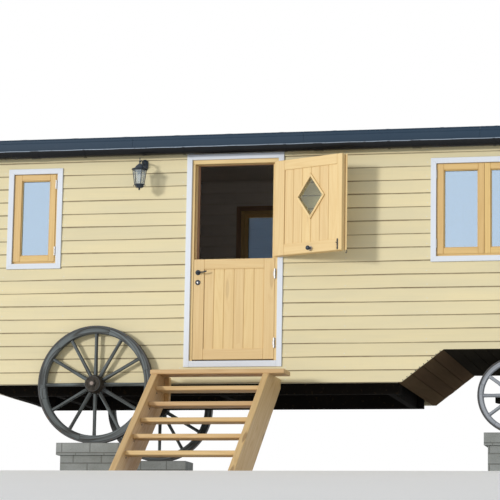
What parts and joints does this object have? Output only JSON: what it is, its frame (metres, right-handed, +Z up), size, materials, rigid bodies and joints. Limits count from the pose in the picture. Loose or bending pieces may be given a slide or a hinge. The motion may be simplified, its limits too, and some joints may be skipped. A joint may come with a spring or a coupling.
{
  "type": "shepherds hut",
  "caption": "Timber hut on spoked wheels with a stable door, casement windows, bowed roof, gutters, wall lantern and open wooden steps.",
  "frame": {"origin": "middle of the foot of the bounding box, on the level ground under the wheel pads and the steps", "axes": "+X along the hut towards the wheel arch, +Y from the door side to the back, +Z up"},
  "size_m": [7.044, 4.5894, 3.6578],
  "materials": {
    "cream_boards": "painted lap boards",
    "white_paint": "white gloss paint",
    "honey_pine": "stained and varnished",
    "fresh_pine": "planed pine",
    "slate_metal": "dark slate blue coating",
    "black_metal": "satin black",
    "dark_boards": "dark stain",
    "dark_frame": "black, matt",
    "grey_oak": "weathered grey",
    "iron_tyre": "worn iron",
    "pad_stone": "rough concrete",
    "hinge_steel": "satin",
    "clear_glass": "clear",
    "bulb_white": "opal"
  },
  "bodies": {
    "hut": {"front_wall_left": "cream_boards", "front_wall_right": "cream_boards", "front_wall_over_door": "cream_boards", "back_wall": "cream_boards", "left_end_wall": "cream_boards", "right_end_wall": "cream_boards", "floor": "dark_boards", "arch_lining": "dark_boards", "roof": "slate_metal", "roof_edge": "slate_metal", "gutters": "black_metal", "corner_boards": "white_paint", "door_frame": "honey_pine", "door_hinges": "hinge_steel", "door_trim": "white_paint", "window_trims": "white_paint", "left_window": "honey_pine", "right_window": "honey_pine", "back_windows": "honey_pine", "window_glass": "clear_glass", "lantern_bracket": "black_metal", "lantern_frame": "black_metal", "lantern_glass": "clear_glass", "lantern_bulb": "bulb_white", "chassis_beams": "dark_frame", "rear_axle": "dark_frame", "front_axle": "dark_frame", "turntable": "dark_frame", "bolster": "dark_frame", "wheel_pads": "pad_stone", "step_strings": "fresh_pine", "step_treads": "fresh_pine", "step_cleats": "fresh_pine", "top_step": "fresh_pine"},
    "lower_leaf": {"lower_leaf_frame": "honey_pine", "lower_leaf_boards": "honey_pine", "lower_leaf_hinges": "hinge_steel", "lower_leaf_roses": "black_metal"},
    "lever": {"lever_handle": "black_metal"},
    "upper_leaf": {"upper_leaf_frame": "honey_pine", "upper_leaf_boards": "honey_pine", "upper_leaf_glass": "clear_glass", "upper_leaf_hinges": "hinge_steel", "upper_leaf_knob": "black_metal"},
    "wheel_rear_front": {"rear_wheel_front": "grey_oak", "rear_tyre_front": "iron_tyre"},
    "wheel_rear_back": {"rear_wheel_back": "grey_oak", "rear_tyre_back": "iron_tyre"},
    "wheel_front_front": {"front_wheel_front": "grey_oak", "front_tyre_front": "iron_tyre"},
    "wheel_front_back": {"front_wheel_back": "grey_oak", "front_tyre_back": "iron_tyre"}
  },
  "joints": [
    {"name": "lower_leaf_hinge", "type": "hinge", "parent": "hut", "child": "lower_leaf", "pos_m": [-0.2895, -0.33565, 1.5], "axis": [0, 0, 1], "range_deg": [0, 156]},
    {"name": "upper_leaf_hinge", "type": "hinge", "parent": "hut", "child": "upper_leaf", "pos_m": [-0.2895, -0.33565, 2.7], "axis": [0, 0, 1], "range_deg": [-156.5, 0]},
    {"name": "lever_turn", "type": "hinge", "parent": "lower_leaf", "child": "lever", "pos_m": [-1.073, -0.34965, 2.108], "axis": [0, 1, 0], "range_deg": [0, 40], "stiffness_Nm_per_rad": 1, "springref_deg": -22.92},
    {"name": "rear_front_spin", "type": "hinge", "parent": "hut", "child": "wheel_rear_front", "pos_m": [-2.084, -0.39465, 0.987], "axis": [0, 1, 0], "continuous": true},
    {"name": "rear_back_spin", "type": "hinge", "parent": "hut", "child": "wheel_rear_back", "pos_m": [-2.084, 2.15535, 0.987], "axis": [0, 1, 0], "continuous": true},
    {"name": "front_front_spin", "type": "hinge", "parent": "hut", "child": "wheel_front_front", "pos_m": [2.084, -0.25965, 0.869], "axis": [0, 1, 0], "continuous": true},
    {"name": "front_back_spin", "type": "hinge", "parent": "hut", "child": "wheel_front_back", "pos_m": [2.084, 2.02035, 0.869], "axis": [0, 1, 0], "continuous": true}
  ]
}
